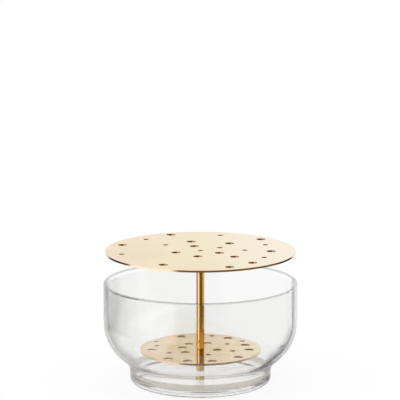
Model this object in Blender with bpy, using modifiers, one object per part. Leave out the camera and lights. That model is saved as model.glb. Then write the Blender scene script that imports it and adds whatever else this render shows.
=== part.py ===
"""Ikebana vase: a round glass bowl with a lift-out brass insert.

The bowl is one turned shell with a short foot. The insert is two pierced discs on
a slim centre rod: the upper disc hovers over the bowl's rim, the lower disc sits
low in the bowl, and stems pass through the holes of both. The rod is in two
lengths with the lower disc clamped between them on a stud, a flush screw holds
the upper disc, and a soft pad in the rod's end stands on the glass.

Metres, +Z up. The origin is on the bowl's axis, on the surface that it stands on.
"""

import math

import bmesh
import bpy

# Bowl
RIM_RADIUS = 0.1225
BOWL_HEIGHT = 0.129
WALL = 0.004
SHOULDER_RADIUS = 0.060
FOOT_RADIUS = 0.0893
FOOT_FILLET = 0.022
FOOT_EDGE_RADIUS = 0.008
BASE_THICKNESS = 0.0085
FLOOR_FILLET = 0.0046
STANDING_RING_WIDTH = 0.008
UNDERSIDE_RISE = 0.0015

# Insert: discs
UPPER_DISC_RADIUS = 0.120
UPPER_DISC_TOP = 0.1693
LOWER_DISC_RADIUS = 0.0773
LOWER_DISC_TOP = 0.042
DISC_THICKNESS = 0.0025
BIG_HOLE_RADIUS = 0.00575
SMALL_HOLE_RADIUS = 0.0035

# Insert: rod, its fixings and its pad
ROD_RADIUS = 0.005
ROD_CHAMFER = 0.0004
STUD_RADIUS = 0.0025
STUD_DEPTH_IN_CENTRE_ROD = 0.012
STUD_DEPTH_IN_FOOT_ROD = 0.007
SCREW_RADIUS = 0.002
SCREW_LENGTH = 0.012
SCREW_HEAD_RADIUS = 0.0037
SCREW_HEAD_HEIGHT = 0.0017
SCREW_SOCKET_RADIUS = 0.0014
SCREW_SOCKET_DEPTH = 0.0012
PAD_RADIUS = 0.0046
PAD_THICKNESS = 0.0016
PAD_SPIGOT_RADIUS = 0.0019
PAD_SPIGOT_LENGTH = 0.003

# Pieces that touch keep this gap
CLEARANCE = 0.0003

# Holes as (thousandths of the disc's radius, degrees round from +X towards the far side)
WHOLE_RADIUS = 1000
UPPER_BIG_HOLES = [
    (233, 106), (275, 202), (300, 265), (233, 328),
    (475, 102), (483, 50), (475, 318),
    (742, 357), (875, 42), (892, 111), (875, 161),
    (808, 242), (875, 290), (817, 311),
]
UPPER_SMALL_HOLES = [
    (250, 35), (467, 2), (467, 142),
    (750, 23), (833, 75), (825, 135), (842, 193), (750, 332),
]
LOWER_BIG_HOLES = [
    (388, 73), (362, 121), (298, 172), (362, 227), (298, 338),
    (776, 17), (854, 57), (854, 112), (802, 188),
    (854, 233), (841, 256), (854, 283), (841, 317), (802, 354),
]
LOWER_SMALL_HOLES = [
    (530, 33), (595, 211), (440, 287), (556, 341),
    (867, 36), (867, 77), (867, 148), (737, 167),
]

# Steps around circles, and the distance within which points are joined
BOWL_STEPS = 72
ROD_STEPS = 24
DISC_STEPS = 96
BIG_HOLE_STEPS = 16
SMALL_HOLE_STEPS = 12
MERGE_DISTANCE = 0.00001

# Heights that follow from the sizes above
BOWL_FLOOR = BASE_THICKNESS
FOOT_SIDE_TOP = BASE_THICKNESS + FLOOR_FILLET
PAD_BOTTOM = BOWL_FLOOR + CLEARANCE
PAD_TOP = PAD_BOTTOM + PAD_THICKNESS
FOOT_ROD_BOTTOM = PAD_TOP + CLEARANCE
LOWER_DISC_BOTTOM = LOWER_DISC_TOP - DISC_THICKNESS
FOOT_ROD_TOP = LOWER_DISC_BOTTOM - CLEARANCE
CENTRE_ROD_BOTTOM = LOWER_DISC_TOP + CLEARANCE
UPPER_DISC_BOTTOM = UPPER_DISC_TOP - DISC_THICKNESS
CENTRE_ROD_TOP = UPPER_DISC_BOTTOM - CLEARANCE


def clear_scene():
    """Remove the scene's objects."""
    for scene_object in list(bpy.data.objects):
        bpy.data.objects.remove(scene_object, do_unlink=True)


def new_collection(name):
    """Make a collection in the scene."""
    collection = bpy.data.collections.new(name)
    bpy.context.scene.collection.children.link(collection)
    return collection


def new_material(name, colour, metallic, roughness, transmission=0.0):
    """Make the Principled material of one part."""
    material = bpy.data.materials.new(name)
    material.use_nodes = True
    shader = material.node_tree.nodes["Principled BSDF"]
    shader.inputs["Base Color"].default_value = (*colour, 1.0)
    shader.inputs["Metallic"].default_value = metallic
    shader.inputs["Roughness"].default_value = roughness
    shader.inputs["Transmission Weight"].default_value = transmission
    material.diffuse_color = (*colour, 1.0)
    return material


def polished_brass(part):
    """Make one insert part's polished brass."""
    return new_material(part + "_brass", (0.85, 0.62, 0.30), 1.0, 0.08)


def add_object(name, mesh, collection, material=None):
    """Put a mesh in the scene as a named object."""
    new_object = bpy.data.objects.new(name, mesh)
    collection.objects.link(new_object)
    if material is not None:
        mesh.materials.append(material)
    return new_object


def arc(centre, radius, start_deg, end_deg, count):
    """Points of an arc about (radius, height), both ends included."""
    points = []
    for index in range(count):
        angle = math.radians(start_deg + (end_deg - start_deg) * index / (count - 1))
        points.append((centre[0] + radius * math.cos(angle), centre[1] + radius * math.sin(angle)))
    return points


def turned(name, profile, steps, collection, material=None):
    """Turn a profile of (radius, height) points about Z; it runs down its outer side."""
    mesh = bpy.data.meshes.new(name)
    vertices = [(radius, 0.0, height) for radius, height in profile]
    edges = [(index, index + 1) for index in range(len(profile) - 1)]
    mesh.from_pydata(vertices, edges, [])
    turned_object = add_object(name, mesh, collection, material)
    screw = turned_object.modifiers.new("Turn", "SCREW")
    screw.axis = "Z"
    screw.angle = math.tau
    screw.steps = steps
    screw.render_steps = steps
    screw.use_merge_vertices = True
    screw.merge_threshold = MERGE_DISTANCE
    screw.use_smooth_shade = True
    return turned_object


def cut(target, cutter, name):
    """Take a cutter's space out of an object."""
    cutter.display_type = "WIRE"
    cutter.hide_render = True
    boolean = target.modifiers.new(name, "BOOLEAN")
    boolean.operation = "DIFFERENCE"
    boolean.solver = "EXACT"
    boolean.object = cutter


def add_circle(curve, radius, centre_x, centre_y, steps):
    """Add one closed circle of straight steps to a flat outline."""
    spline = curve.splines.new("POLY")
    spline.points.add(steps - 1)
    for index, point in enumerate(spline.points):
        angle = math.tau * index / steps
        x = centre_x + radius * math.cos(angle)
        y = centre_y + radius * math.sin(angle)
        point.co = (x, y, 0.0, 1.0)
    spline.use_cyclic_u = True


def add_holes(curve, disc_radius, holes, radius, steps):
    """Add each listed hole's circle to a disc's outline, at its share of the disc's radius."""
    for share, angle_deg in holes:
        angle = math.radians(angle_deg)
        reach = disc_radius * share / WHOLE_RADIUS
        add_circle(curve, radius, reach * math.cos(angle), reach * math.sin(angle), steps)


def curve_to_mesh(curve_object, collection, material):
    """Swap a flat outline for the closed mesh that it draws, in the same place."""
    name = curve_object.name
    bpy.context.view_layer.update()
    evaluated = curve_object.evaluated_get(bpy.context.evaluated_depsgraph_get())
    mesh = bpy.data.meshes.new_from_object(evaluated)
    place = curve_object.matrix_world.copy()
    bpy.data.objects.remove(curve_object, do_unlink=True)
    shape = bmesh.new()
    shape.from_mesh(mesh)
    bmesh.ops.remove_doubles(shape, verts=shape.verts, dist=MERGE_DISTANCE)
    shape.to_mesh(mesh)
    shape.free()
    mesh.name = name
    mesh.materials.clear()
    mesh_object = add_object(name, mesh, collection, material)
    mesh_object.matrix_world = place
    return mesh_object


def make_disc(name, radius, top, centre_hole, big_holes, small_holes, collection):
    """One pierced disc, from its outline and the outlines of its holes."""
    curve = bpy.data.curves.new(name, "CURVE")
    curve.dimensions = "2D"
    curve.fill_mode = "BOTH"
    curve.extrude = DISC_THICKNESS / 2
    add_circle(curve, radius, 0.0, 0.0, DISC_STEPS)
    add_circle(curve, centre_hole, 0.0, 0.0, BIG_HOLE_STEPS)
    add_holes(curve, radius, big_holes, BIG_HOLE_RADIUS, BIG_HOLE_STEPS)
    add_holes(curve, radius, small_holes, SMALL_HOLE_RADIUS, SMALL_HOLE_STEPS)
    outline = bpy.data.objects.new(name, curve)
    outline.location.z = top - DISC_THICKNESS / 2
    collection.objects.link(outline)
    return curve_to_mesh(outline, collection, polished_brass(name))


def bowl_profile():
    """Outline of the glass: up the inside from the floor, over the rim, down and under."""
    fillet_centre = (FOOT_RADIUS + FOOT_FILLET, FOOT_SIDE_TOP)
    shoulder_r = RIM_RADIUS - SHOULDER_RADIUS
    across = fillet_centre[0] - shoulder_r
    reach = SHOULDER_RADIUS + FOOT_FILLET
    shoulder_centre = (shoulder_r, FOOT_SIDE_TOP + math.sqrt(reach * reach - across * across))
    touch_deg = -math.degrees(math.acos(across / reach))
    lip = WALL / 2
    floor_corner = (FOOT_RADIUS - WALL - FLOOR_FILLET, FOOT_SIDE_TOP)
    foot_edge = (FOOT_RADIUS - FOOT_EDGE_RADIUS, FOOT_EDGE_RADIUS)

    profile = [(0.0, BOWL_FLOOR)]
    profile += arc(floor_corner, FLOOR_FILLET, -90, 0, 4)
    profile += arc(fillet_centre, FOOT_FILLET + WALL, 180, 180 + touch_deg, 5)[1:]
    profile += arc(shoulder_centre, SHOULDER_RADIUS - WALL, touch_deg, 0, 8)[1:]
    profile += arc((RIM_RADIUS - lip, BOWL_HEIGHT - lip), lip, 180, 0, 7)
    profile += arc(shoulder_centre, SHOULDER_RADIUS, 0, touch_deg, 8)
    profile += arc(fillet_centre, FOOT_FILLET, 180 + touch_deg, 180, 5)[1:]
    profile += arc(foot_edge, FOOT_EDGE_RADIUS, 0, -90, 5)
    profile += [(foot_edge[0] - STANDING_RING_WIDTH, 0.0), (0.0, UNDERSIDE_RISE)]
    return profile


def make_bowl(collection):
    """The clear glass bowl, one turned shell."""
    glass = new_material("clear_glass", (0.97, 0.98, 0.97), 0.0, 0.02, transmission=1.0)
    return turned("glass_bowl", bowl_profile(), BOWL_STEPS, collection, glass)


def rod_profile(bottom, top, bottom_bore, bottom_depth, top_bore, top_depth):
    """Outline of a rod length with a blind bore in each end and small chamfers."""
    shoulder = ROD_RADIUS - ROD_CHAMFER
    return [
        (0.0, top - top_depth),
        (top_bore, top - top_depth),
        (top_bore, top),
        (shoulder, top),
        (ROD_RADIUS, top - ROD_CHAMFER),
        (ROD_RADIUS, bottom + ROD_CHAMFER),
        (shoulder, bottom),
        (bottom_bore, bottom),
        (bottom_bore, bottom + bottom_depth),
        (0.0, bottom + bottom_depth),
    ]


def make_centre_rod(collection):
    """The long rod between the discs, bored for the stud below and the screw above."""
    profile = rod_profile(
        CENTRE_ROD_BOTTOM, CENTRE_ROD_TOP,
        STUD_RADIUS + CLEARANCE, STUD_DEPTH_IN_CENTRE_ROD,
        SCREW_RADIUS + CLEARANCE, SCREW_LENGTH,
    )
    return turned("centre_rod", profile, ROD_STEPS, collection, polished_brass("centre_rod"))


def make_foot_rod(collection):
    """The short rod under the lower disc, bored for the pad below and the stud above."""
    profile = rod_profile(
        FOOT_ROD_BOTTOM, FOOT_ROD_TOP,
        PAD_SPIGOT_RADIUS + CLEARANCE, PAD_SPIGOT_LENGTH + CLEARANCE,
        STUD_RADIUS + CLEARANCE, STUD_DEPTH_IN_FOOT_ROD,
    )
    return turned("foot_rod", profile, ROD_STEPS, collection, polished_brass("foot_rod"))


def make_joining_stud(collection):
    """The stud that joins the two rod lengths through the lower disc."""
    bottom = FOOT_ROD_TOP - STUD_DEPTH_IN_FOOT_ROD + CLEARANCE
    top = CENTRE_ROD_BOTTOM + STUD_DEPTH_IN_CENTRE_ROD - CLEARANCE
    profile = [
        (0.0, top),
        (STUD_RADIUS - ROD_CHAMFER, top),
        (STUD_RADIUS, top - ROD_CHAMFER),
        (STUD_RADIUS, bottom + ROD_CHAMFER),
        (STUD_RADIUS - ROD_CHAMFER, bottom),
        (0.0, bottom),
    ]
    steel = new_material("joining_stud_steel", (0.62, 0.62, 0.60), 1.0, 0.3)
    return turned("joining_stud", profile, ROD_STEPS, collection, steel)


def make_foot_pad(collection):
    """The soft pad under the rod, held by a spigot in the rod's end."""
    profile = [
        (0.0, FOOT_ROD_BOTTOM + PAD_SPIGOT_LENGTH),
        (PAD_SPIGOT_RADIUS, FOOT_ROD_BOTTOM + PAD_SPIGOT_LENGTH),
        (PAD_SPIGOT_RADIUS, PAD_TOP),
        (PAD_RADIUS, PAD_TOP),
        (PAD_RADIUS, PAD_BOTTOM + ROD_CHAMFER),
        (PAD_RADIUS - ROD_CHAMFER, PAD_BOTTOM),
        (0.0, PAD_BOTTOM),
    ]
    silicone = new_material("clear_silicone", (0.80, 0.80, 0.78), 0.0, 0.45)
    return turned("foot_pad", profile, ROD_STEPS, collection, silicone)


def make_disc_screw(collection, cutters):
    """The countersunk screw that holds the upper disc, with its hexagon socket."""
    bottom = CENTRE_ROD_TOP - SCREW_LENGTH + CLEARANCE
    profile = [
        (0.0, UPPER_DISC_TOP),
        (SCREW_HEAD_RADIUS, UPPER_DISC_TOP),
        (SCREW_RADIUS, UPPER_DISC_TOP - SCREW_HEAD_HEIGHT),
        (SCREW_RADIUS, bottom + ROD_CHAMFER),
        (SCREW_RADIUS - ROD_CHAMFER, bottom),
        (0.0, bottom),
    ]
    screw = turned("disc_screw", profile, ROD_STEPS, collection, polished_brass("disc_screw"))
    socket_mesh = bpy.data.meshes.new("screw_socket_cutter")
    socket = bmesh.new()
    bmesh.ops.create_cone(
        socket, cap_ends=True, segments=6, depth=2 * SCREW_SOCKET_DEPTH,
        radius1=SCREW_SOCKET_RADIUS, radius2=SCREW_SOCKET_RADIUS,
    )
    socket.to_mesh(socket_mesh)
    socket.free()
    socket_cutter = add_object("screw_socket_cutter", socket_mesh, cutters)
    socket_cutter.location.z = UPPER_DISC_TOP
    cut(screw, socket_cutter, "Hexagon socket")
    return screw


def make_upper_disc(collection, cutters):
    """The wide disc over the rim, countersunk for its screw."""
    disc = make_disc(
        "upper_disc", UPPER_DISC_RADIUS, UPPER_DISC_TOP, SCREW_RADIUS + CLEARANCE,
        UPPER_BIG_HOLES, UPPER_SMALL_HOLES, collection,
    )
    slope = (SCREW_HEAD_RADIUS - SCREW_RADIUS) / SCREW_HEAD_HEIGHT
    above = CLEARANCE
    profile = [
        (0.0, UPPER_DISC_TOP + above),
        (SCREW_HEAD_RADIUS + CLEARANCE + slope * above, UPPER_DISC_TOP + above),
        (SCREW_RADIUS + CLEARANCE, UPPER_DISC_TOP - SCREW_HEAD_HEIGHT),
        (0.0, UPPER_DISC_TOP - SCREW_HEAD_HEIGHT),
    ]
    countersink = turned("countersink_cutter", profile, ROD_STEPS, cutters)
    cut(disc, countersink, "Countersink")
    return disc


def make_lower_disc(collection):
    """The smaller disc inside the bowl, with a plain hole for the stud."""
    return make_disc(
        "lower_disc", LOWER_DISC_RADIUS, LOWER_DISC_TOP, STUD_RADIUS + CLEARANCE,
        LOWER_BIG_HOLES, LOWER_SMALL_HOLES, collection,
    )


def make_axis(name, height, collection, parent=None):
    """An empty on the bowl's axis that carries what moves there."""
    axis = bpy.data.objects.new(name, None)
    axis.empty_display_size = ROD_RADIUS * 4
    collection.objects.link(axis)
    axis.parent = parent
    axis.location.z = height
    return axis


def carry(axis, pieces):
    """Parent pieces to an axis without moving them."""
    bpy.context.view_layer.update()
    for piece in pieces:
        piece.parent = axis
        piece.matrix_parent_inverse = axis.matrix_world.inverted()


def main():
    """Build the bowl, the insert and the axes that the insert moves on."""
    clear_scene()
    parts = new_collection("ikebana_vase")
    cutters = new_collection("cutters")
    make_bowl(parts)
    pad = make_foot_pad(parts)
    insert = [
        make_foot_rod(parts),
        make_joining_stud(parts),
        make_lower_disc(parts),
        make_centre_rod(parts),
        make_upper_disc(parts, cutters),
        make_disc_screw(parts, cutters),
    ]
    lift_axis = make_axis("insert_lift_axis", PAD_BOTTOM, parts)
    turn_axis = make_axis("insert_turn_axis", PAD_THICKNESS, parts, lift_axis)
    carry(lift_axis, [pad])
    carry(turn_axis, insert)


main()
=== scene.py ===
"""Looks of the ikebana vase: a clear glass bowl with a lift-out polished brass insert.

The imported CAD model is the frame. The bowl, the discs, the rod lengths and the pad
are built again here with finer meshes in the same places, the screw and the stud
keep their CAD shapes, and every piece gets its finish from nodes.

Metres, +Z up. The origin is on the bowl's axis, on the surface that it stands on.
-Y faces the camera.
"""

from __future__ import annotations

import logging
import math
from dataclasses import dataclass
from enum import Enum

import bmesh
import bpy
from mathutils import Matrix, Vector

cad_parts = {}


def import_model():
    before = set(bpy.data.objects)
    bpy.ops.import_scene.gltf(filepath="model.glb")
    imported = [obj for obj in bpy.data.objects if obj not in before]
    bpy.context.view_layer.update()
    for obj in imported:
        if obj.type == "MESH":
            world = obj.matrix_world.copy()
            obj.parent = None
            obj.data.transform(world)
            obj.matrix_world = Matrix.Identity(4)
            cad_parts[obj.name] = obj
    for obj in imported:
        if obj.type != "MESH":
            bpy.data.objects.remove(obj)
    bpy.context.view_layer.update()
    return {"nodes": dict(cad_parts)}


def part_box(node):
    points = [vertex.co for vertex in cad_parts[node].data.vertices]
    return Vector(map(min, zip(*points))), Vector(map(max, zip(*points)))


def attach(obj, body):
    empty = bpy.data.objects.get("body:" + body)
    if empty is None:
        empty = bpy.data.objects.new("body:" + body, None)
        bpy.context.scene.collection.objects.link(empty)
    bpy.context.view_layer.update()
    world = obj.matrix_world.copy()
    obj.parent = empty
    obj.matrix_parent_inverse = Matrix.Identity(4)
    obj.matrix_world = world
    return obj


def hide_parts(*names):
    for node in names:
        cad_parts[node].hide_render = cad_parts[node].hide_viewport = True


Point = tuple[float, float]
Place = tuple[float, float, float]
Span = tuple[float, float]
HolePlace = tuple[int, int]
Colour = tuple[float, float, float]
Socket = bpy.types.NodeSocket
Value = float | Socket

WHITE: Colour = (1.0, 1.0, 1.0)
ON_AXIS = 1e-7

log = logging.getLogger("ikebana_vase")


class Body(Enum):
    """The bodies that the pieces ride on."""

    BOWL = "bowl"
    FOOT = "foot"
    INSERT = "insert"


class Slot(Enum):
    """The record's material slots."""

    GLASS = "clear_glass"
    BRASS = "polished_brass"
    STEEL = "plain_steel"
    SILICONE = "clear_silicone"


def rgba(colour: Colour) -> tuple[float, float, float, float]:
    """Give a colour its alpha of one."""
    return (*colour, 1.0)


def grey(level: float) -> Colour:
    """Give the grey of a level."""
    return (level, level, level)


def in_radians(span_deg: Span) -> Span:
    """Turn the two ends of a span from degrees into radians."""
    return (math.radians(span_deg[0]), math.radians(span_deg[1]))


class NodeSheet:
    """A node tree that is filled one node at a time."""

    def __init__(self, tree: bpy.types.NodeTree) -> None:
        """Empty the tree of a material or of the world, and start on it."""
        self.tree = tree
        self.tree.nodes.clear()

    def add(
        self, kind: str, inputs: dict[str | int, object] | None = None, **settings: object
    ) -> bpy.types.Node:
        """Add a node with its settings and input values.

        Args:
            kind: The node's type, without the ShaderNode at its front.
            inputs: Values or output sockets by input name or number.
            settings: The node's own settings.

        Returns:
            The new node.
        """
        node = self.tree.nodes.new("ShaderNode" + kind)
        for name, value in settings.items():
            setattr(node, name, value)
        for key, value in (inputs or {}).items():
            if isinstance(value, Socket):
                self.tree.links.new(value, node.inputs[key])
            else:
                node.inputs[key].default_value = value
        return node

    def math(self, operation: str, first: Value, second: Value = 0.0) -> Socket:
        """Add a Math node with an operation, such as MULTIPLY, of one or two values."""
        return self.add("Math", {0: first, 1: second}, operation=operation).outputs[0]

    def product(self, first: Value, *others: Value) -> Socket:
        """Multiply two or more values.

        Args:
            first: The first value or socket.
            others: The values or sockets to multiply it by.

        Returns:
            The product's output.
        """
        result = first
        for other in others:
            result = self.math("MULTIPLY", result, other)
        return result

    def ramp(
        self, value: Value, span: tuple[Value, Value], low: Value = 0.0, high: Value = 1.0
    ) -> Socket:
        """Add a smooth step from low, where the value is at its span's start, to high at its end."""
        inputs = {"Value": value, "From Min": span[0], "From Max": span[1], "To Min": low, "To Max": high}
        return self.add("MapRange", inputs, interpolation_type="SMOOTHSTEP").outputs["Result"]

    def at_least(self, kind: str, count: int) -> Socket:
        """Give one for a ray that has met at least so many surfaces of a kind, or else zero."""
        return self.math("GREATER_THAN", self.add("LightPath").outputs[kind + " Depth"], count - 0.5)

    def fewer(self, kind: str, count: int) -> Socket:
        """Give one for a ray that has met fewer surfaces of a kind than that, or else zero."""
        return self.math("LESS_THAN", self.add("LightPath").outputs[kind + " Depth"], count - 0.5)

    def mix(self, share: Value, first: Colour | Socket, second: Colour | Socket) -> Socket:
        """Add a mix of two colours, where the share of the second is from 0 to 1."""
        one, other = (rgba(end) if isinstance(end, tuple) else end for end in (first, second))
        return self.add("Mix", {0: share, 6: one, 7: other}, data_type="RGBA").outputs[2]

    def noise(self, place: Socket, size: float, detail: float = 1.0) -> Socket:
        """Add soft noise, from 0 to 1."""
        return self.add("TexNoise", {"Vector": place, "Scale": size, "Detail": detail}).outputs["Fac"]

    def stretched(self, place: Socket, scale: Place) -> Socket:
        """Scale a place for the pattern that reads it."""
        return self.add("Mapping", {"Vector": place, "Scale": scale}).outputs[0]

    def bump(self, height: Socket, distance: float) -> Socket:
        """Add a bump and give its normal."""
        inputs = {"Height": height, "Strength": 1.0, "Distance": distance}
        return self.add("Bump", inputs).outputs["Normal"]

    def place(self) -> Socket:
        """Give the place on the piece."""
        return self.add("TexCoord").outputs["Object"]

    def parts(self, place: Socket) -> bpy.types.NodeOutputs:
        """Split a place or a direction into its X, Y and Z."""
        return self.add("SeparateXYZ", {0: place}).outputs

    def reach(self, place: Socket) -> Socket:
        """Give how far a place is from the bowl's axis."""
        flat = self.add("VectorMath", {0: place, 1: (1.0, 1.0, 0.0)}, operation="MULTIPLY").outputs[0]
        return self.add("VectorMath", {0: flat}, operation="LENGTH").outputs["Value"]

    def surface(self, shader: bpy.types.Node) -> None:
        """Use a shader for the material's surface."""
        self.add("OutputMaterial", {"Surface": shader.outputs[0]})


def new_material(name: str) -> tuple[bpy.types.Material, NodeSheet]:
    """Start a material on an empty node sheet.

    Args:
        name: The material's name.

    Returns:
        The material and its node sheet.
    """
    material = bpy.data.materials.new(name)
    material.use_nodes = True
    return material, NodeSheet(material.node_tree)


@dataclass(frozen=True)
class GlassSpot:
    """Where a spot of the bowl is and how it is seen, as node outputs.

    The slant is 0 where the glass is seen square on and 1 where it is seen edge on. The
    lip, the outer wall and the painted line of shade that stands for the inner wall are 1 there
    and 0 elsewhere, with soft ends.
    """

    place: Socket
    x: Socket
    y: Socket
    z: Socket
    reach: Socket
    slant: Socket
    lip: Socket
    outside: Socket
    line: Socket
    painted_line_shade: Socket


@dataclass(frozen=True)
class ClearGlass:
    """Clear polished glass, very slightly wavy from the blowing, shaded as in the photo.

    It bends light less on the right than on the left. Toward the outlines part of the
    light passes straight through it. Its colours hold painted shade: dark outlines low on the
    wall, a darker warm ring in the thick foot that is partly its thickness, a tinted line that
    stands for the inner wall, a darker right shoulder and a grey lip; the foot is painted lighter.
    A pair of heights, sides, depths, reaches or slants is where a change starts and ends.
    """

    colour: Colour = (0.935, 0.94, 0.933)
    # Painted light: the foot is tinted clearer than the wall.
    painted_light_foot_colour: Colour = (0.985, 0.985, 0.98)
    foot_heights: Span = (0.02, 0.035)
    # Painted shade: a dark tint where the lower wall is seen edge on.
    painted_outline_shade_colour: Colour = (0.19, 0.19, 0.185)
    outline_heights: Span = (0.085, 0.055)
    outline_reaches: Span = (0.078, 0.083)
    outline_slants: Span = (0.58, 0.85)
    # The thick ring's warm grey is partly the thickness of the glass and partly painted shade.
    thick_glass_and_shade_colour: Colour = (0.64, 0.61, 0.56)
    thick_heights: Span = (0.0085, 0.0095)
    thick_top_heights: Span = (0.0185, 0.0175)
    thick_reaches: Span = (0.078, 0.08)
    left_ior: float = 1.45
    right_ior: float = 1.05
    foot_right_ior: float = 1.28
    ior_heights: Span = (0.02, 0.045)
    ior_sides: Span = (-0.03, 0.09)
    floor_ior: float = 1.2
    floor_reaches: Span = (0.074, 0.078)
    roughness: float = 0.004
    sides: Span = (-0.03, 0.06)
    straight_share: float = 0.06
    foot_share: float = 0.04
    foot_share_heights: Span = (0.012, 0.02)
    shoulder_share: float = 0.18
    left_share: float = 0.46
    left_heights: Span = (0.055, 0.09)
    left_slants: Span = (0.4, 0.65)
    right_share: float = 1.0
    right_heights: Span = (0.03, 0.05)
    right_slants: Span = (0.66, 0.72)
    # Painted shade: the lip is tinted grey.
    lip_painted_shade: Colour = (0.78, 0.78, 0.775)
    lip_heights: Span = (0.1262, 0.1272)
    lip_roughness: float = 0.09
    lip_share: float = 0.97
    collar_heights: Span = (0.1215, 0.1225)
    collar_depths: Span = (0.0, 0.03)
    # Painted shade: a tinted line where the wall is seen nearly edge on stands for the inner wall.
    line_start_slants: Span = (0.66, 0.70)
    line_end_slants: Span = (0.79, 0.75)
    line_rest: float = 0.4
    line_reaches: Span = (0.12, 0.1205)
    left_painted_line_shade: float = 0.80
    right_painted_line_shade: float = 0.72
    # Painted shade: the right shoulder is tinted darker.
    painted_shoulder_shade: float = 0.79
    shoulder_sides: Span = (0.0, 0.06)
    shoulder_heights: Span = (0.078, 0.056)
    shoulder_slants: Span = (0.6, 0.7)
    wave_size: float = 14.0
    wave_stretch: Place = (1.0, 1.0, 2.5)
    wave_height: float = 0.00025

    def spot(self, sheet: NodeSheet) -> GlassSpot:
        """Find where a spot of the bowl is and how it is seen.

        Args:
            sheet: The node sheet to add to.

        Returns:
            The spot's values.
        """
        place = sheet.place()
        parts = sheet.parts(place)
        reach = sheet.reach(place)
        slant = sheet.add("LayerWeight", {"Blend": 0.5}).outputs["Facing"]
        lip = sheet.ramp(parts["Z"], self.lip_heights)
        outside = sheet.ramp(reach, self.line_reaches)
        # Painted shade: the band of slants where the inner wall's line is painted.
        line = sheet.product(
            sheet.ramp(slant, self.line_start_slants),
            sheet.ramp(slant, self.line_end_slants, self.line_rest),
            outside,
            sheet.math("SUBTRACT", 1.0, lip),
        )
        tint = sheet.ramp(parts["X"], self.sides, self.left_painted_line_shade, self.right_painted_line_shade)
        return GlassSpot(
            place=place, x=parts["X"], y=parts["Y"], z=parts["Z"], reach=reach, slant=slant,
            lip=lip, outside=outside, line=line, painted_line_shade=tint,
        )

    def bent_colour(self, sheet: NodeSheet, spot: GlassSpot) -> Socket:
        """Colour the bent light: a painted lighter foot, painted dark outlines low on the wall, and a
        darker warm thick ring that is partly its thickness and partly painted shade.

        Args:
            sheet: The node sheet to add to.
            spot: The spot's values.

        Returns:
            The colour.
        """
        # Painted shade: dark outlines low on the wall, where it is seen edge on.
        dark = sheet.product(
            sheet.ramp(spot.slant, self.outline_slants),
            sheet.ramp(spot.z, self.outline_heights),
            sheet.ramp(spot.reach, self.outline_reaches),
        )
        # The thick ring is darkened warm, partly for its thickness and partly as painted shade.
        thick = sheet.product(
            sheet.ramp(spot.z, self.thick_top_heights),
            sheet.ramp(spot.z, self.thick_heights),
            sheet.ramp(spot.reach, self.thick_reaches),
        )
        # Painted light: the foot is lighter than the wall.
        plain = sheet.mix(sheet.ramp(spot.z, self.foot_heights), self.painted_light_foot_colour, self.colour)
        shade = sheet.mix(dark, plain, self.painted_outline_shade_colour)
        # Painted shade: the line of the inner wall darkens the bent light.
        shade = sheet.mix(spot.line, shade, sheet.product(spot.painted_line_shade, spot.painted_line_shade))
        return sheet.mix(thick, shade, self.thick_glass_and_shade_colour)

    def bending(self, sheet: NodeSheet, spot: GlassSpot) -> Socket:
        """Set how strongly the glass bends light: less on the right and in the floor.

        Args:
            sheet: The node sheet to add to.
            spot: The spot's values.

        Returns:
            The index.
        """
        right = sheet.ramp(spot.z, self.ior_heights, self.foot_right_ior, self.right_ior)
        wall = sheet.ramp(spot.x, self.ior_sides, self.left_ior, right)
        floor = sheet.ramp(spot.reach, self.floor_reaches, self.floor_ior, self.left_ior)
        return sheet.math("MINIMUM", wall, floor)

    def straight_part(self, sheet: NodeSheet, spot: GlassSpot) -> Socket:
        """Set how much light passes straight through: more toward the outlines, most in the lip.

        On the back half, light that leaves the outer wall just under the lip goes straight too.

        Args:
            sheet: The node sheet to add to.
            spot: The spot's values.

        Returns:
            The share, from 0 to 1.
        """
        left = sheet.ramp(spot.z, self.left_heights, self.shoulder_share, self.left_share)
        right = sheet.ramp(spot.z, self.right_heights, self.shoulder_share, self.right_share)
        upper = sheet.ramp(spot.x, self.sides, left, right)
        most = sheet.math("MINIMUM", upper, sheet.ramp(spot.z, self.foot_share_heights, self.foot_share))
        slants = (
            sheet.ramp(spot.x, self.sides, self.left_slants[0], self.right_slants[0]),
            sheet.ramp(spot.x, self.sides, self.left_slants[1], self.right_slants[1]),
        )
        outline = sheet.product(sheet.ramp(spot.slant, slants), most)
        collar = sheet.product(
            spot.outside,
            sheet.add("NewGeometry").outputs["Backfacing"],
            sheet.ramp(spot.y, self.collar_depths),
            sheet.ramp(spot.z, self.collar_heights),
        )
        rim = sheet.product(sheet.math("MAXIMUM", spot.lip, collar), self.lip_share)
        return sheet.math("MAXIMUM", outline, sheet.math("MAXIMUM", self.straight_share, rim))

    def straight_colour(self, sheet: NodeSheet, spot: GlassSpot) -> Socket:
        """Tint the light that passes straight through with painted shade: the line of the inner wall, the
        darker right shoulder and the grey lip.

        Args:
            sheet: The node sheet to add to.
            spot: The spot's values.

        Returns:
            The colour.
        """
        # Painted shade: the right shoulder, where it is seen at a slant.
        shoulder = sheet.product(
            sheet.ramp(spot.x, self.shoulder_sides),
            sheet.ramp(spot.z, self.shoulder_heights),
            sheet.ramp(spot.slant, self.shoulder_slants),
        )
        # Painted shade: the line of the inner wall darkens the straight light.
        clear = sheet.mix(spot.line, WHITE, spot.painted_line_shade)
        clear = sheet.mix(shoulder, clear, grey(self.painted_shoulder_shade))
        # Painted shade: a grey tint in the lip.
        return sheet.mix(spot.lip, clear, self.lip_painted_shade)

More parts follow.
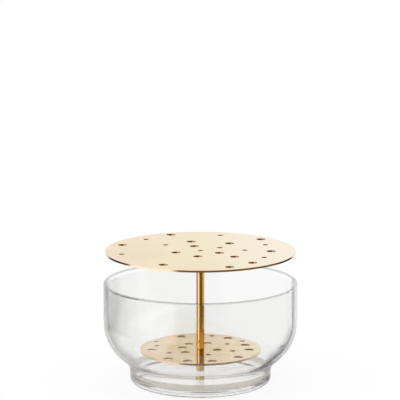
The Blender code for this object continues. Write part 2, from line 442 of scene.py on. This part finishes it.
    def material(self) -> bpy.types.Material:
        """Make the glass.

        Returns:
            The new material.
        """
        material, sheet = new_material("clear_glass")
        spot = self.spot(sheet)
        waves = sheet.noise(sheet.stretched(spot.place, self.wave_stretch), self.wave_size)
        bent = sheet.add("BsdfPrincipled", {
            "Base Color": self.bent_colour(sheet, spot),
            "Roughness": sheet.mix(spot.lip, grey(self.roughness), grey(self.lip_roughness)),
            "IOR": self.bending(sheet, spot),
            "Transmission Weight": 1.0,
            "Normal": sheet.bump(waves, self.wave_height),
        })
        straight = sheet.add("BsdfTransparent", {0: self.straight_colour(sheet, spot)})
        both = {0: self.straight_part(sheet, spot), 1: bent.outputs[0], 2: straight.outputs[0]}
        sheet.surface(sheet.add("MixShader", both))
        return material


@dataclass(frozen=True)
class LacqueredBrass:
    """Mirror-polished brass under clear lacquer, with faint polishing marks.

    Its tone wanders a little, and a painted sheen makes it paler to the right. Where
    rim_reach is set, the cut edge at that distance is warmer, and the walls of the drilled
    holes are darker and duller, partly from the unpolished drilling and partly as painted shade.
    """

    name: str
    colour: Colour = (0.77, 0.54, 0.13)
    deep_colour: Colour = (0.72, 0.42, 0.07)
    tone_size: float = 9.0
    tone_levels: Span = (0.35, 0.65)
    # Painted sheen: toward +X the brass is painted paler, as if lit from the right.
    painted_sheen_colour: Colour = (0.92, 0.80, 0.52)
    painted_sheen_share: float = 0.6
    painted_sheen_sides: Span = (-0.01, 0.09)
    rim_reach: float = 0.0
    rim_depths: Span = (0.001, 0.0005)
    edge_colour: Colour = (0.72, 0.50, 0.33)
    # The drilled walls are darker, partly as duller unpolished brass and partly as painted shade in the
    # holes.
    drilled_and_shaded_colour: Colour = (0.42, 0.24, 0.10)
    drilled_roughness: float = 0.3
    upright_levels: Span = (0.8, 0.5)
    grazing_colour: Colour = WHITE
    roughness: float = 0.07
    roughness_spread: float = 0.04
    haze_size: float = 38.0
    haze_detail: float = 4.0
    haze_levels: Span = (0.3, 0.75)
    lacquer: float = 1.0
    lacquer_roughness: float = 0.02
    lacquer_ior: float = 1.5
    mark_size: float = 900.0
    mark_detail: float = 2.0
    mark_stretch: Place = (1.0, 0.06, 1.0)
    mark_height: float = 0.0000007

    def with_cut_walls(
        self, sheet: NodeSheet, place: Socket, shade: Socket, rough: Socket
    ) -> tuple[Socket, Socket]:
        """Change the upright walls of a disc: its rim, and its drilled holes, which are darker partly as
        painted shade.

        Args:
            sheet: The node sheet to add to.
            place: The place on the piece.
            shade: The colour of the polished faces.
            rough: Their roughness.

        Returns:
            The colour and the roughness, with those of the walls.
        """
        facing = sheet.parts(sheet.add("TexCoord").outputs["Normal"])["Z"]
        upright = sheet.ramp(sheet.math("ABSOLUTE", facing), self.upright_levels)
        start, end = (self.rim_reach - depth for depth in self.rim_depths)
        rim = sheet.ramp(sheet.reach(place), (start, end))
        # Drilled walls: partly duller drilled brass, partly painted shade in the holes.
        wall = sheet.mix(rim, self.drilled_and_shaded_colour, self.edge_colour)
        drilled = sheet.product(upright, sheet.math("SUBTRACT", 1.0, rim))
        return sheet.mix(upright, shade, wall), sheet.mix(drilled, rough, grey(self.drilled_roughness))

    def material(self) -> bpy.types.Material:
        """Make the brass.

        Returns:
            The new material.
        """
        material, sheet = new_material(self.name)
        place = sheet.place()
        tone = sheet.ramp(sheet.noise(place, self.tone_size), self.tone_levels)
        # Painted sheen: the brass gets paler toward +X.
        paler = sheet.ramp(sheet.parts(place)["X"], self.painted_sheen_sides, 0.0, self.painted_sheen_share)
        shade = sheet.mix(paler, sheet.mix(tone, self.colour, self.deep_colour), self.painted_sheen_colour)
        haze = sheet.noise(place, self.haze_size, self.haze_detail)
        rough = sheet.ramp(haze, self.haze_levels, self.roughness, self.roughness + self.roughness_spread)
        if self.rim_reach > 0.0:
            shade, rough = self.with_cut_walls(sheet, place, shade, rough)
        stretched = sheet.stretched(place, self.mark_stretch)
        marks = sheet.noise(stretched, self.mark_size, self.mark_detail)
        sheet.surface(sheet.add("BsdfPrincipled", {
            "Base Color": shade,
            "Metallic": 1.0,
            "Roughness": rough,
            "Specular Tint": rgba(self.grazing_colour),
            "Coat Weight": self.lacquer,
            "Coat Roughness": self.lacquer_roughness,
            "Coat IOR": self.lacquer_ior,
            "Normal": sheet.bump(marks, self.mark_height),
        }))
        return material


@dataclass(frozen=True)
class TurnedSteel:
    """Plain steel with the fine rings that turning leaves."""

    colour: Colour = (0.62, 0.62, 0.60)
    roughness: float = 0.28
    ring_roughness: float = 0.392
    ring_spacing: float = 0.0003
    ring_wobble: float = 0.4
    ring_height: float = 0.00001

    def material(self) -> bpy.types.Material:
        """Make the steel.

        Returns:
            The new material.
        """
        material, sheet = new_material("turned_steel")
        pattern = {
            "Vector": sheet.place(), "Scale": 0.5 / self.ring_spacing, "Distortion": self.ring_wobble,
        }
        rings = sheet.add("TexWave", pattern, bands_direction="Z").outputs["Fac"]
        sheet.surface(sheet.add("BsdfPrincipled", {
            "Base Color": rgba(self.colour),
            "Metallic": 1.0,
            "Roughness": sheet.ramp(rings, (0.0, 1.0), self.roughness, self.ring_roughness),
            "Normal": sheet.bump(rings, self.ring_height),
        }))
        return material


@dataclass(frozen=True)
class CloudySilicone:
    """Soft silicone that lets some light through and holds a little dust."""

    colour: Colour = (0.80, 0.80, 0.77)
    dusty_colour: Colour = (0.70, 0.69, 0.66)
    dust_size: float = 1500.0
    dust_detail: float = 3.0
    dust_levels: Span = (0.45, 0.7)
    dust_height: float = 0.00002
    roughness: float = 0.42
    roughness_spread: float = 0.2
    rough_levels: Span = (0.3, 0.7)
    inner_light: float = 0.6
    inner_reach: float = 0.002

    def material(self) -> bpy.types.Material:
        """Make the silicone.

        Returns:
            The new material.
        """
        material, sheet = new_material("cloudy_silicone")
        dust = sheet.noise(sheet.place(), self.dust_size, self.dust_detail)
        rougher = self.roughness + self.roughness_spread
        sheet.surface(sheet.add("BsdfPrincipled", {
            "Base Color": sheet.mix(sheet.ramp(dust, self.dust_levels), self.colour, self.dusty_colour),
            "Roughness": sheet.ramp(dust, self.rough_levels, self.roughness, rougher),
            "Subsurface Weight": self.inner_light,
            "Subsurface Scale": self.inner_reach,
            "Normal": sheet.bump(dust, self.dust_height),
        }))
        return material


def arc(centre: Point, radius: float, start_deg: float, end_deg: float, count: int) -> list[Point]:
    """Points of an arc in a profile.

    Args:
        centre: The arc's centre as (radius, height).
        radius: The arc's own radius.
        start_deg: Where it starts, in degrees from outward.
        end_deg: Where it ends.
        count: How many points it has, with both ends.

    Returns:
        The points as (radius, height).
    """
    points = []
    for index in range(count):
        angle = math.radians(start_deg + (end_deg - start_deg) * index / (count - 1))
        points.append((centre[0] + radius * math.cos(angle), centre[1] + radius * math.sin(angle)))
    return points


def finished_object(
    name: str, shape: bmesh.types.BMesh, material: bpy.types.Material, sharp_deg: float = 30.0
) -> bpy.types.Object:
    """Turn a finished shape into an object with its material.

    Args:
        name: The object's name.
        shape: The shape, which is freed.
        material: The finish.
        sharp_deg: Edges with a sharper turn than this stay crisp.

    Returns:
        The new object.
    """
    bmesh.ops.recalc_face_normals(shape, faces=shape.faces)
    mesh = bpy.data.meshes.new(name)
    shape.to_mesh(mesh)
    shape.free()
    mesh.shade_smooth()
    mesh.set_sharp_from_angle(angle=math.radians(sharp_deg))
    mesh.materials.append(material)
    piece = bpy.data.objects.new(name, mesh)
    bpy.context.scene.collection.objects.link(piece)
    return piece


def turned_shape(profile: list[Point], steps: int) -> bmesh.types.BMesh:
    """Turn a profile about Z into a closed shape.

    Args:
        profile: Points as (radius, height), from one point on the axis to another.
        steps: How many steps go round the axis.

    Returns:
        The closed shape.
    """
    shape = bmesh.new()
    rings = []
    for radius, height in profile:
        count = 1 if radius < ON_AXIS else steps
        ring = []
        for index in range(count):
            angle = math.tau * index / steps
            ring.append(shape.verts.new((radius * math.cos(angle), radius * math.sin(angle), height)))
        rings.append(ring)
    for one, other in zip(rings, rings[1:]):
        for index in range(steps):
            places = ((one, index), (one, index + 1), (other, index + 1), (other, index))
            corners = [ring[place % len(ring)] for ring, place in places]
            shape.faces.new(list(dict.fromkeys(corners)))
    return shape


@dataclass
class GlassBowl:
    """The bowl: a straight wall, a round shoulder and a short foot in one turned shell."""

    finish: ClearGlass
    rim_radius: float
    height: float
    wall: float = 0.004
    shoulder_radius: float = 0.060
    shoulder_points: int = 36
    foot_radius: float = 0.0893
    foot_fillet: float = 0.022
    fillet_points: int = 20
    foot_edge_radius: float = 0.008
    foot_edge_points: int = 16
    base_thickness: float = 0.0085
    floor_fillet: float = 0.0046
    floor_points: int = 12
    lip_points: int = 25
    standing_ring_width: float = 0.008
    underside_rise: float = 0.0015
    underside_shares: tuple[float, ...] = (0.9, 0.75, 0.55, 0.3, 0.0)
    steps: int = 576

    def profile(self) -> list[Point]:
        """Outline of the glass: up the inside from the floor, over the rim, down and under.

        Returns:
            The outline's points as (radius, height).
        """
        foot_side_top = self.base_thickness + self.floor_fillet
        fillet_centre = (self.foot_radius + self.foot_fillet, foot_side_top)
        shoulder_r = self.rim_radius - self.shoulder_radius
        across = fillet_centre[0] - shoulder_r
        reach = self.shoulder_radius + self.foot_fillet
        shoulder_centre = (shoulder_r, foot_side_top + math.sqrt(reach * reach - across * across))
        touch_deg = -math.degrees(math.acos(across / reach))
        lip = self.wall / 2
        floor_corner = (self.foot_radius - self.wall - self.floor_fillet, foot_side_top)
        foot_edge = (self.foot_radius - self.foot_edge_radius, self.foot_edge_radius)
        ring_inside = foot_edge[0] - self.standing_ring_width
        inner_fillet = self.foot_fillet + self.wall
        inner_shoulder = self.shoulder_radius - self.wall

        points = [(0.0, self.base_thickness)]
        points += arc(floor_corner, self.floor_fillet, -90, 0, self.floor_points)
        points += arc(fillet_centre, inner_fillet, 180, 180 + touch_deg, self.fillet_points)[1:]
        points += arc(shoulder_centre, inner_shoulder, touch_deg, 0, self.shoulder_points)[1:]
        points += arc((self.rim_radius - lip, self.height - lip), lip, 180, 0, self.lip_points)
        points += arc(shoulder_centre, self.shoulder_radius, 0, touch_deg, self.shoulder_points)
        points += arc(fillet_centre, self.foot_fillet, 180 + touch_deg, 180, self.fillet_points)[1:]
        points += arc(foot_edge, self.foot_edge_radius, 0, -90, self.foot_edge_points)
        points += [(ring_inside, 0.0)]
        for share in self.underside_shares:
            points.append((ring_inside * share, self.underside_rise * (1 - share * share)))
        return points

    def build(self) -> bpy.types.Object:
        """Build the bowl in place of its CAD node.

        Returns:
            The bowl.
        """
        shape = turned_shape(self.profile(), self.steps)
        bowl = finished_object("clear_bowl", shape, self.finish.material())
        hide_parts("glass_bowl")
        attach(bowl, Body.BOWL.value)
        return bowl


@dataclass
class PiercedDisc:
    """A flat disc with a centre hole and scattered stem holes, its edges slightly eased.

    A stem hole is given by its distance in thousandths of the disc's radius and its degrees.
    """

    finish: LacqueredBrass
    name: str
    node: str
    radius: float
    bottom: float
    top: float
    centre_hole: float
    big_holes: list[HolePlace]
    small_holes: list[HolePlace]
    countersink_radius: float = 0.0
    countersink_depth: float = 0.0
    big_hole_radius: float = 0.00575
    small_hole_radius: float = 0.0035
    eased: float = 0.0001
    eased_turns_deg: tuple[int, ...] = (90, 60, 30, 0)
    rim_steps: int = 288
    big_steps: int = 40
    small_steps: int = 28
    sharp_deg: float = 14.0

    def edge_levels(self, outward: float) -> list[Point]:
        """Rings of an eased edge, from the top face to the bottom face.

        Args:
            outward: 1 for the disc's rim, -1 for a hole.

        Returns:
            Pairs of an added radius and a height.
        """
        levels = []
        for turn_deg in self.eased_turns_deg:
            turn = math.radians(turn_deg)
            inset = self.eased * (1 - math.cos(turn))
            levels.append((-outward * inset, self.top - self.eased * (1 - math.sin(turn))))
        for added, height in list(reversed(levels)):
            levels.append((added, self.bottom + self.top - height))
        return levels

    def centre_levels(self) -> list[Point]:
        """Rings of the centre hole, with its countersink if it has one.

        Returns:
            Pairs of an added radius and a height.
        """
        if self.countersink_depth == 0.0:
            return self.edge_levels(-1)
        sunk = self.countersink_radius - self.centre_hole
        through = self.top - self.countersink_depth
        return [(sunk, self.top), (0.0, through), (0.0, self.bottom)]

    def add_wall(
        self, shape: bmesh.types.BMesh, centre: Point, radius: float, steps: int, levels: list[Point]
    ) -> tuple[list[bmesh.types.BMEdge], list[bmesh.types.BMEdge]]:
        """Add the wall of a round edge.

        Args:
            shape: The disc's shape.
            centre: The edge's centre.
            radius: The edge's radius.
            steps: How many steps it has.
            levels: Its rings, as added radius and height.

        Returns:
            The edges of its top ring and of its bottom ring.
        """
        rings = []
        for added, height in levels:
            ring = []
            for index in range(steps):
                angle = math.tau * index / steps
                x = centre[0] + (radius + added) * math.cos(angle)
                y = centre[1] + (radius + added) * math.sin(angle)
                ring.append(shape.verts.new((x, y, height)))
            rings.append(ring)
        for one, other in zip(rings, rings[1:]):
            for index in range(steps):
                after = (index + 1) % steps
                shape.faces.new((one[index], one[after], other[after], other[index]))
        ends = []
        for ring in (rings[0], rings[-1]):
            ends.append([shape.edges.get((ring[index], ring[index - 1])) for index in range(steps)])
        return ends[0], ends[1]

    def stem_holes(self) -> list[tuple[Point, float, int]]:
        """Place every stem hole.

        Returns:
            The centre, the radius and the steps of each.
        """
        holes = []
        kinds = (
            (self.big_holes, self.big_hole_radius, self.big_steps),
            (self.small_holes, self.small_hole_radius, self.small_steps),
        )
        for places, radius, steps in kinds:
            for thousandths, angle_deg in places:
                reach = self.radius * thousandths / 1000
                angle = math.radians(angle_deg)
                holes.append(((reach * math.cos(angle), reach * math.sin(angle)), radius, steps))
        return holes

    def build(self) -> bpy.types.Object:
        """Build the disc in place of its CAD node.

        Returns:
            The disc.
        """
        shape = bmesh.new()
        middle = (0.0, 0.0)
        walls = [
            self.add_wall(shape, middle, self.radius, self.rim_steps, self.edge_levels(1)),
            self.add_wall(shape, middle, self.centre_hole, self.big_steps, self.centre_levels()),
        ]
        for centre, radius, steps in self.stem_holes():
            walls.append(self.add_wall(shape, centre, radius, steps, self.edge_levels(-1)))
        for side in (0, 1):
            edges = [edge for wall in walls for edge in wall[side]]
            bmesh.ops.triangle_fill(shape, edges=edges, use_beauty=True, use_dissolve=False)
        disc = finished_object(self.name, shape, self.finish.material(), self.sharp_deg)
        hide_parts(self.node)
        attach(disc, Body.INSERT.value)
        return disc


@dataclass
class RodLength:
    """One length of the rod, with a blind bore in each end and softly broken edges."""

    finish: LacqueredBrass
    name: str
    node: str
    radius: float
    bottom: float
    top: float
    bottom_bore: float
    bottom_depth: float
    top_bore: float
    top_depth: float
    edge_radius: float = 0.0004
    edge_points: int = 5
    steps: int = 72
    sharp_deg: float = 40.0

    def profile(self) -> list[Point]:
        """Outline of the rod, from the top bore round to the bottom bore.

        Returns:
            The outline's points as (radius, height).
        """
        edge = self.edge_radius
        inset = self.radius - edge
        points = [
            (0.0, self.top - self.top_depth),
            (self.top_bore, self.top - self.top_depth),
            (self.top_bore, self.top),
        ]
        points += arc((inset, self.top - edge), edge, 90, 0, self.edge_points)
        points += arc((inset, self.bottom + edge), edge, 0, -90, self.edge_points)
        points += [
            (self.bottom_bore, self.bottom),
            (self.bottom_bore, self.bottom + self.bottom_depth),
            (0.0, self.bottom + self.bottom_depth),
        ]
        return points

    def build(self) -> bpy.types.Object:
        """Build the rod length in place of its CAD node.

        Returns:
            The rod length.
        """
        shape = turned_shape(self.profile(), self.steps)
        rod = finished_object(self.name, shape, self.finish.material(), self.sharp_deg)
        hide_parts(self.node)
        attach(rod, Body.INSERT.value)
        return rod


@dataclass
class SoftPad:
    """The pad under the rod: a rounded button on a spigot."""

    finish: CloudySilicone
    radius: float
    bottom: float
    top: float
    spigot_top: float
    spigot_radius: float
    rounding: float = 0.0006
    spigot_points: int = 6
    edge_points: int = 8
    steps: int = 64
    sharp_deg: float = 50.0

    def profile(self) -> list[Point]:
        """Outline of the pad, from the top of its spigot to its underside.

        Returns:
            The outline's points as (radius, height).
        """
        inset = self.radius - self.rounding
        tip = self.spigot_radius - self.rounding
        points = [(0.0, self.spigot_top)]
        points += arc((tip, self.spigot_top - self.rounding), self.rounding, 90, 0, self.spigot_points)
        points += [(self.spigot_radius, self.top)]
        points += arc((inset, self.top - self.rounding), self.rounding, 90, 0, self.edge_points)
        points += arc((inset, self.bottom + self.rounding), self.rounding, 0, -90, self.edge_points)
        points += [(0.0, self.bottom)]
        return points

    def build(self) -> bpy.types.Object:
        """Build the pad in place of its CAD node.

        Returns:
            The pad.
        """
        shape = turned_shape(self.profile(), self.steps)
        pad = finished_object("soft_pad", shape, self.finish.material(), self.sharp_deg)
        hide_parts("foot_pad")
        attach(pad, Body.FOOT.value)
        return pad


@dataclass
class Insert:
    """The brass insert: two discs, two rod lengths, their screw and stud, and the pad."""

    upper_brass: LacqueredBrass
    lower_brass: LacqueredBrass
    rod_brass: LacqueredBrass
    steel: TurnedSteel
    silicone: CloudySilicone
    nodes: dict[str, bpy.types.Object]
    clearance: float = 0.0003
    screw_radius: float = 0.002
    screw_head_radius: float = 0.0037
    screw_head_height: float = 0.0017
    screw_length: float = 0.012
    stud_radius: float = 0.0025
    stud_depth_above: float = 0.012
    stud_depth_below: float = 0.007
    spigot_radius: float = 0.0019
    spigot_length: float = 0.003

    def upper_disc(self) -> PiercedDisc:
        """Size the wide disc over the rim.

        Returns:
            The disc, not yet built.
        """
        low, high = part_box("upper_disc")
        return PiercedDisc(
            self.upper_brass, "upper_plate", "upper_disc", radius=high.x, bottom=low.z, top=high.z,
            centre_hole=self.screw_radius + self.clearance,
            big_holes=[
                (233, 106), (275, 202), (300, 265), (233, 328), (475, 102), (483, 50), (475, 318),
                (742, 357), (875, 42), (892, 111), (875, 161), (808, 242), (875, 290), (817, 311),
            ],
            small_holes=[
                (250, 35), (467, 2), (467, 142), (750, 23),
                (833, 75), (825, 135), (842, 193), (750, 332),
            ],
            countersink_radius=self.screw_head_radius + self.clearance,
            countersink_depth=self.screw_head_height,
        )

    def lower_disc(self) -> PiercedDisc:
        """Size the smaller disc inside the bowl.

        Returns:
            The disc, not yet built.
        """
        low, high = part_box("lower_disc")
        return PiercedDisc(
            self.lower_brass, "lower_plate", "lower_disc", radius=high.x, bottom=low.z, top=high.z,
            centre_hole=self.stud_radius + self.clearance,
            big_holes=[
                (388, 73), (362, 121), (298, 172), (362, 227), (298, 338), (776, 17), (854, 57),
                (854, 112), (802, 188), (854, 233), (841, 256), (854, 283), (841, 317), (802, 354),
            ],
            small_holes=[
                (530, 33), (595, 211), (440, 287), (556, 341),
                (867, 36), (867, 77), (867, 148), (737, 167),
            ],
        )

    def centre_rod(self) -> RodLength:
        """Size the long rod between the discs.

        Returns:
            The rod length, not yet built.
        """
        low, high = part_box("centre_rod")
        return RodLength(
            self.rod_brass, "long_rod", "centre_rod", radius=high.x, bottom=low.z, top=high.z,
            bottom_bore=self.stud_radius + self.clearance, bottom_depth=self.stud_depth_above,
            top_bore=self.screw_radius + self.clearance, top_depth=self.screw_length,
        )

    def foot_rod(self) -> RodLength:
        """Size the short rod under the lower disc.

        Returns:
            The rod length, not yet built.
        """
        low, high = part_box("foot_rod")
        return RodLength(
            self.rod_brass, "short_rod", "foot_rod", radius=high.x, bottom=low.z, top=high.z,
            bottom_bore=self.spigot_radius + self.clearance,
            bottom_depth=self.spigot_length + self.clearance,
            top_bore=self.stud_radius + self.clearance, top_depth=self.stud_depth_below,
        )

    def pad(self) -> SoftPad:
        """Size the pad under the rod.

        Returns:
            The pad, not yet built.
        """
        low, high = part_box("foot_pad")
        rod_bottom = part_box("foot_rod")[0].z
        return SoftPad(
            self.silicone, radius=high.x, bottom=low.z, top=rod_bottom - self.clearance,
            spigot_top=high.z, spigot_radius=self.spigot_radius,
        )

    def dress_node(self, node: str, material: bpy.types.Material) -> None:
        """Give a CAD node that keeps its shape its finish.

        Args:
            node: The CAD node's name.
            material: The finish.
        """
        shown = self.nodes[node]
        shown.data.materials.clear()
        shown.data.materials.append(material)

    def build(self) -> list[str]:
        """Build and dress the whole insert.

        Returns:
            The names of its pieces.
        """
        parts = (self.upper_disc(), self.lower_disc(), self.centre_rod(), self.foot_rod(), self.pad())
        built = [part.build() for part in parts]
        self.dress_node("disc_screw", self.rod_brass.material())
        self.dress_node("joining_stud", self.steel.material())
        return [piece.name for piece in built] + ["disc_screw", "joining_stud"]


@dataclass
class Studio:
    """A pale table top, a white background, soft lamps and the camera.

    The room that polished surfaces mirror is only in the colours of the world and the table.
    A turn is the angle away from the front, in degrees, and is negative to the left. A level
    is the Z part of a direction. A pair of either is where a change starts and ends.
    """

    table_radius: float = 0.36
    table_drop: float = 0.0003
    table_steps: int = 128
    table_colour: Colour = (0.90, 0.90, 0.895)
    table_white: float = 0.92
    table_white_reaches: Span = (0.108, 0.288)
    mirrored_share: float = 0.7
    behind_vase: Place = (0.0, 0.15, 0.0)
    mirrored_reaches: Span = (0.2, 0.37)
    front_surround: Colour = (0.24, 0.16, 0.05)
    front_levels: Span = (0.235, 0.19)
    mirrored_again_drop: float = 0.14
    window: Colour = (1.75, 1.68, 1.72)
    window_left_turns: Span = (-100.0, -88.0)
    window_right_turns: Span = (-24.0, -38.0)
    window_loss_deg: float = 16.0
    light_side_surfaces: int = 2
    light_side_turns: Span = (60.0, 75.0)
    dark_back: Colour = (0.045, 0.032, 0.022)
    light_back: Colour = (0.90, 0.90, 0.895)
    back_turns: Span = (98.0, 116.0)
    back_levels: Span = (0.02, -0.06)
    light_back_turns: Span = (138.0, 152.0)
    right_back_gain_deg: float = 46.0
    right_back_radians: Span = (0.0, 0.1)
    room_level: float = 0.5
    lamp_size: float = 1.2
    lamp_power: float = 9.0
    lamp_aim: Place = (0.0, 0.0, 0.08)
    overhead_lamp: Place = (0.2, 0.2, 1.5)
    left_lamp: Place = (-1.1, -0.6, 0.9)
    lens: float = 216.0
    sensor_width: float = 36.0
    clip_end: float = 50.0
    camera_place: Place = (-0.0005, -2.9605, 0.7877)
    camera_pitch_deg: float = 10.595

    def straight_view(self, sheet: NodeSheet) -> Socket:
        """Tell rays that look straight at the background, through clear glass or not.

        Args:
            sheet: The node sheet to add to.

        Returns:
            One for such a ray and zero for one that a surface has reflected.
        """
        path = sheet.add("LightPath").outputs
        through = sheet.product(path["Is Transmission Ray"], sheet.fewer("Glossy", 1))
        return sheet.math("MAXIMUM", path["Is Camera Ray"], through)

    def turn(self, sheet: NodeSheet, place: Socket) -> Socket:
        """Give how far a place or a direction is turned away from the front, in radians."""
        parts = sheet.parts(place)
        return sheet.math("ARCTAN2", parts["X"], sheet.product(parts["Y"], -1.0))

    def low_front(self, sheet: NodeSheet, turn: Socket) -> Socket:
        """Colour the low front: a warm dark room with a window on the left.

        The window is narrower for rays that have been in glass, and the sides are light for
        those that have crossed only a surface or two of it.

        Args:
            sheet: The node sheet to add to.
            turn: The turn away from the front.

        Returns:
            The colour.
        """
        loss = sheet.product(sheet.at_least("Transmission", 1), math.radians(self.window_loss_deg))
        window = sheet.product(
            sheet.ramp(sheet.math("SUBTRACT", turn, loss), in_radians(self.window_left_turns)),
            sheet.ramp(turn, in_radians(self.window_right_turns)),
        )
        light_side = sheet.product(
            sheet.at_least("Transmission", 1),
            sheet.fewer("Transmission", self.light_side_surfaces + 1),
            sheet.ramp(sheet.math("ABSOLUTE", turn), in_radians(self.light_side_turns)),
        )
        seen = sheet.mix(window, self.front_surround, self.window)
        return sheet.mix(light_side, seen, self.light_back)

    def low_back(self, sheet: NodeSheet, turn: Socket) -> Socket:
        """Colour the low back: dark toward the sides and light straight behind.

        It is light farther round on the right for rays that have been in glass.

        Args:
            sheet: The node sheet to add to.
            turn: The turn away from the front.

        Returns:
            The colour.
        """
        gain = sheet.product(
            sheet.at_least("Transmission", 1),
            sheet.ramp(turn, self.right_back_radians, 0.0, math.radians(self.right_back_gain_deg)),
        )
        farther = sheet.math("ADD", sheet.math("ABSOLUTE", turn), gain)
        behind = sheet.ramp(farther, in_radians(self.light_back_turns))
        return sheet.mix(behind, self.dark_back, self.light_back)

    def mirrored_room(self, sheet: NodeSheet) -> Socket:
        """Colour the room that polished surfaces mirror: white above, the low front and back below.

        Args:
            sheet: The node sheet to add to.

        Returns:
            The colour.
        """
        toward = sheet.add("TexCoord").outputs["Generated"]
        turn = self.turn(sheet, toward)
        level = sheet.parts(toward)["Z"]
        drop = sheet.product(sheet.at_least("Glossy", 2), self.mirrored_again_drop)
        low = sheet.ramp(sheet.math("SUBTRACT", level, drop), self.front_levels)
        front = sheet.mix(low, WHITE, self.low_front(sheet, turn))
        back = sheet.mix(sheet.ramp(level, self.back_levels), WHITE, self.low_back(sheet, turn))
        behind = sheet.ramp(sheet.math("ABSOLUTE", turn), in_radians(self.back_turns))
        return sheet.mix(behind, front, back)

    def add_table(self) -> bpy.types.Object:
        """Add the round pale table top, which keeps the vase's soft shadow. Seen in polished surfaces, it
        glows with a painted reflection of a dark room and a window.

        Returns:
            The table top.
        """
        material, sheet = new_material("pale_table")
        place = sheet.place()
        straight = self.straight_view(sheet)
        whiter = sheet.ramp(sheet.reach(place), self.table_white_reaches, self.table_white)
        behind = sheet.add("VectorMath", {0: place, 1: self.behind_vase}, operation="DISTANCE")
        farther = sheet.ramp(behind.outputs["Value"], self.mirrored_reaches)
        # Painted reflection: seen from polished surfaces, the table glows with its own colour near the
        # vase and a painted dark room with a bright window farther out.
        room = self.low_front(sheet, self.turn(sheet, place))
        mirrored = sheet.mix(farther, self.table_colour, room)
        matt = sheet.add("BsdfDiffuse", {"Color": sheet.mix(straight, mirrored, self.table_colour)})
        glow = sheet.add("Emission", {"Color": sheet.mix(straight, mirrored, WHITE), "Strength": 1.0})
        share = sheet.mix(straight, grey(self.mirrored_share), whiter)
        sheet.surface(sheet.add("MixShader", {0: share, 1: matt.outputs[0], 2: glow.outputs[0]}))

        shape = bmesh.new()
        bmesh.ops.create_circle(shape, cap_ends=True, segments=self.table_steps, radius=self.table_radius)
        table = finished_object("pale_table", shape, material)
        table.location.z = -self.table_drop
        return table

    def add_world(self) -> None:
        """Light the studio: white to look at, grey for its light, and the room for mirrors."""
        world = bpy.data.worlds.new("studio")
        bpy.context.scene.world = world
        world.use_nodes = True
        sheet = NodeSheet(world.node_tree)
        polished = sheet.product(sheet.at_least("Glossy", 1), sheet.fewer("Diffuse", 1))
        room = sheet.mix(polished, grey(self.room_level), self.mirrored_room(sheet))
        shown = sheet.mix(self.straight_view(sheet), room, WHITE)
        background = sheet.add("Background", {"Color": shown, "Strength": 1.0})
        sheet.add("OutputWorld", {"Surface": background.outputs[0]})

    def add_lamp(self, name: str, place: Place) -> None:
        """Add a soft square lamp that points at the vase.

        Args:
            name: The lamp's name.
            place: Where it is.
        """
        lamp = bpy.data.lights.new(name, "AREA")
        lamp.shape = "SQUARE"
        lamp.size = self.lamp_size
        lamp.energy = self.lamp_power
        holder = bpy.data.objects.new(name, lamp)
        holder.location = place
        aim = Vector(self.lamp_aim) - Vector(place)
        holder.rotation_euler = aim.to_track_quat("-Z", "Y").to_euler()
        holder.visible_glossy = False
        bpy.context.scene.collection.objects.link(holder)

    def add_camera(self) -> None:
        """Add the camera at the photo's height and angle."""
        lens = bpy.data.cameras.new("photo_camera")
        lens.lens = self.lens
        lens.sensor_width = self.sensor_width
        lens.clip_end = self.clip_end
        camera = bpy.data.objects.new("photo_camera", lens)
        camera.location = self.camera_place
        camera.rotation_euler = (math.radians(90.0 - self.camera_pitch_deg), 0.0, 0.0)
        bpy.context.scene.collection.objects.link(camera)
        bpy.context.scene.camera = camera

    def build(self) -> None:
        """Set up the whole studio."""
        self.add_table()
        self.add_world()
        self.add_lamp("overhead_softbox", self.overhead_lamp)
        self.add_lamp("left_softbox", self.left_lamp)
        self.add_camera()
        bpy.context.scene.view_settings.view_transform = "Standard"


def main() -> None:
    """Build the studio and every piece of the vase, and keep its sizes."""
    logging.basicConfig(level=logging.INFO, format="%(message)s")
    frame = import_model()
    Studio().build()
    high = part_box("glass_bowl")[1]
    bowl = GlassBowl(ClearGlass(), rim_radius=high.x, height=high.z).build()
    log.info("built %s", bowl.name)
    insert = Insert(
        upper_brass=LacqueredBrass("upper_brass", rim_reach=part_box("upper_disc")[1].x),
        lower_brass=LacqueredBrass(
            "lower_brass", colour=(0.78, 0.47, 0.10), deep_colour=(0.72, 0.38, 0.05),
            rim_reach=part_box("lower_disc")[1].x,
        ),
        rod_brass=LacqueredBrass(
            "rod_brass", colour=(0.74, 0.52, 0.21), deep_colour=(0.70, 0.46, 0.16), painted_sheen_share=0.0,
            grazing_colour=(0.45, 0.22, 0.05), roughness=0.05, roughness_spread=0.03, lacquer=0.5,
        ),
        steel=TurnedSteel(),
        silicone=CloudySilicone(),
        nodes=frame["nodes"],
    )
    for name in insert.build():
        log.info("built %s", name)


if __name__ == "__main__":
    main()
